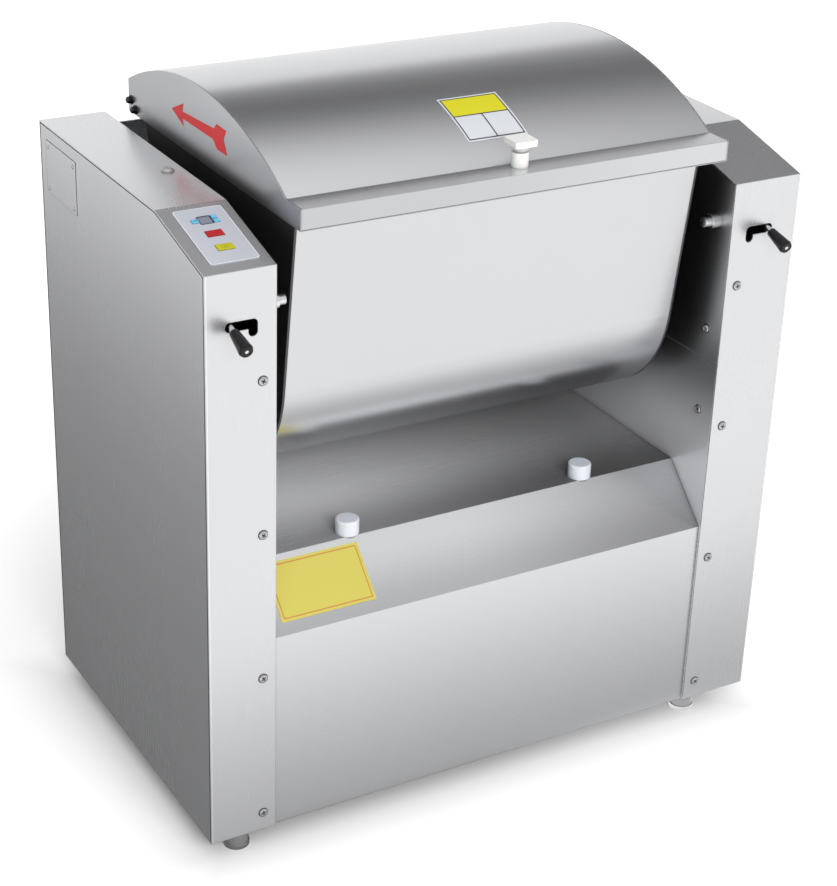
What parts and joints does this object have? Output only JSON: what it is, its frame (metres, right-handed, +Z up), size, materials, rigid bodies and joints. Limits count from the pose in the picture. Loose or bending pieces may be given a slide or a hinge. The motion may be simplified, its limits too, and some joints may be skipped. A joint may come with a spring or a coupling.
{
  "type": "horizontal dough mixer",
  "caption": "Stainless floor-standing horizontal dough mixer: tipping trough with arched lid between two cabinets, helical blade agitator, latch levers and a small keypad.",
  "frame": {"origin": "on the floor below the middle of the overall bounding box", "axes": "+Z up, front with the sloping sill and the levers faces -Y, agitator axis along X"},
  "size_m": [0.701, 0.4769, 0.78],
  "materials": {
    "stainless": "satin brushed",
    "frame_paint": "satin paint",
    "white_nylon": "moulded",
    "fastener": "bright",
    "casting": "machined casting",
    "bright_steel": "ground",
    "chrome": "polished",
    "black_plastic": "gloss",
    "overlay_film": "satin film",
    "display": "tinted window",
    "circuit_board": "laminate",
    "blue_key": "film",
    "red_key": "film",
    "yellow_key": "film",
    "plain_plate": "satin",
    "gear_steel": "machined",
    "belt_rubber": "cloth-faced rubber",
    "motor_paint": "gloss paint",
    "box_paint": "powder coat",
    "black_gland": "moulded nylon"
  },
  "bodies": {
    "base": {"chassis": "frame_paint", "foot_front_left": "stainless", "foot_front_right": "stainless", "foot_rear_left": "stainless", "foot_rear_right": "stainless", "left_side_frame": "stainless", "right_side_frame": "stainless", "left_cover": "stainless", "right_cover": "stainless", "base_front_and_tray": "stainless", "base_rear_panel": "stainless", "bowl_rest_left": "white_nylon", "bowl_rest_right": "white_nylon", "bowl_rest_screws": "fastener", "bearing_housing_left": "casting", "bearing_housing_right": "casting", "latch_collar_left": "bright_steel", "latch_collar_right": "bright_steel", "control_overlay": "overlay_film", "display_window": "display", "control_board": "circuit_board", "blank_plate": "plain_plate", "blind_plug": "bright_steel", "cover_screws": "fastener", "right_wall_screws": "fastener", "drive_belt": "belt_rubber", "countershaft_bearing": "casting", "motor": "motor_paint", "motor_shelf": "frame_paint", "electrical_box": "box_paint", "cable_gland": "black_gland"},
    "bowl": {"bowl_trough": "stainless", "bowl_end_left": "stainless", "bowl_end_right": "stainless", "bowl_hinge_brackets": "stainless", "hinge_pins": "bright_steel"},
    "lid": {"lid_shell": "stainless", "lid_end_left": "stainless", "lid_end_right": "stainless", "lid_knob": "white_nylon", "lid_hinge_leaves": "stainless"},
    "agitator": {"agitator_shaft": "bright_steel", "agitator_blades": "stainless", "bull_gear": "gear_steel"},
    "countershaft": {"pinion_shaft": "gear_steel", "countershaft_pulley": "casting"},
    "motor_rotor": {"motor_shaft": "bright_steel", "motor_pulley": "casting"},
    "latch_left": {"latch_pin_left": "bright_steel", "latch_lever_left": "chrome", "latch_grip_left": "black_plastic"},
    "latch_right": {"latch_pin_right": "bright_steel", "latch_lever_right": "chrome", "latch_grip_right": "black_plastic"},
    "key_mode_body": {"key_mode": "blue_key"},
    "key_up_body": {"key_up": "blue_key"},
    "key_down_body": {"key_down": "blue_key"},
    "key_stop_body": {"key_stop": "red_key"},
    "key_start_body": {"key_start": "yellow_key"}
  },
  "joints": [
    {"name": "bowl_tilt", "type": "hinge", "parent": "base", "child": "bowl", "pos_m": [-0.0055, -0.012, 0.527], "axis": [1, 0, 0], "range_deg": [0, 95]},
    {"name": "lid_hinge", "type": "hinge", "parent": "bowl", "child": "lid", "pos_m": [-0.0055, 0.2125, 0.728], "axis": [-1, 0, 0], "range_deg": [0, 105]},
    {"name": "agitator_spin", "type": "hinge", "parent": "base", "child": "agitator", "pos_m": [-0.0055, -0.012, 0.527], "axis": [1, 0, 0], "continuous": true},
    {"name": "countershaft_spin", "type": "hinge", "parent": "base", "child": "countershaft", "pos_m": [-0.3, 0.0485, 0.39111], "axis": [1, 0, 0], "continuous": true},
    {"name": "motor_spin", "type": "hinge", "parent": "base", "child": "motor_rotor", "pos_m": [-0.3, -0.03, 0.172], "axis": [1, 0, 0], "continuous": true},
    {"name": "latch_left_slide", "type": "slide", "parent": "base", "child": "latch_left", "axis": [-1, 0, 0], "range_m": [-0.022, 0]},
    {"name": "latch_right_slide", "type": "slide", "parent": "base", "child": "latch_right", "axis": [1, 0, 0], "range_m": [-0.022, 0]},
    {"name": "key_mode_press", "type": "slide", "parent": "base", "child": "key_mode_body", "axis": [0, 0.2403, -0.9707], "range_m": [0, 0.0005], "stiffness_N_per_m": 300},
    {"name": "key_up_press", "type": "slide", "parent": "base", "child": "key_up_body", "axis": [0, 0.2403, -0.9707], "range_m": [0, 0.0005], "stiffness_N_per_m": 300},
    {"name": "key_down_press", "type": "slide", "parent": "base", "child": "key_down_body", "axis": [0, 0.2403, -0.9707], "range_m": [0, 0.0005], "stiffness_N_per_m": 300},
    {"name": "key_stop_press", "type": "slide", "parent": "base", "child": "key_stop_body", "axis": [0, 0.2403, -0.9707], "range_m": [0, 0.0005], "stiffness_N_per_m": 300},
    {"name": "key_start_press", "type": "slide", "parent": "base", "child": "key_start_body", "axis": [0, 0.2403, -0.9707], "range_m": [0, 0.0005], "stiffness_N_per_m": 300}
  ],
  "couplings": [
    {"joint": "countershaft_spin", "follows": "agitator_spin", "ratio": -4},
    {"joint": "motor_spin", "follows": "agitator_spin", "ratio": -12}
  ]
}
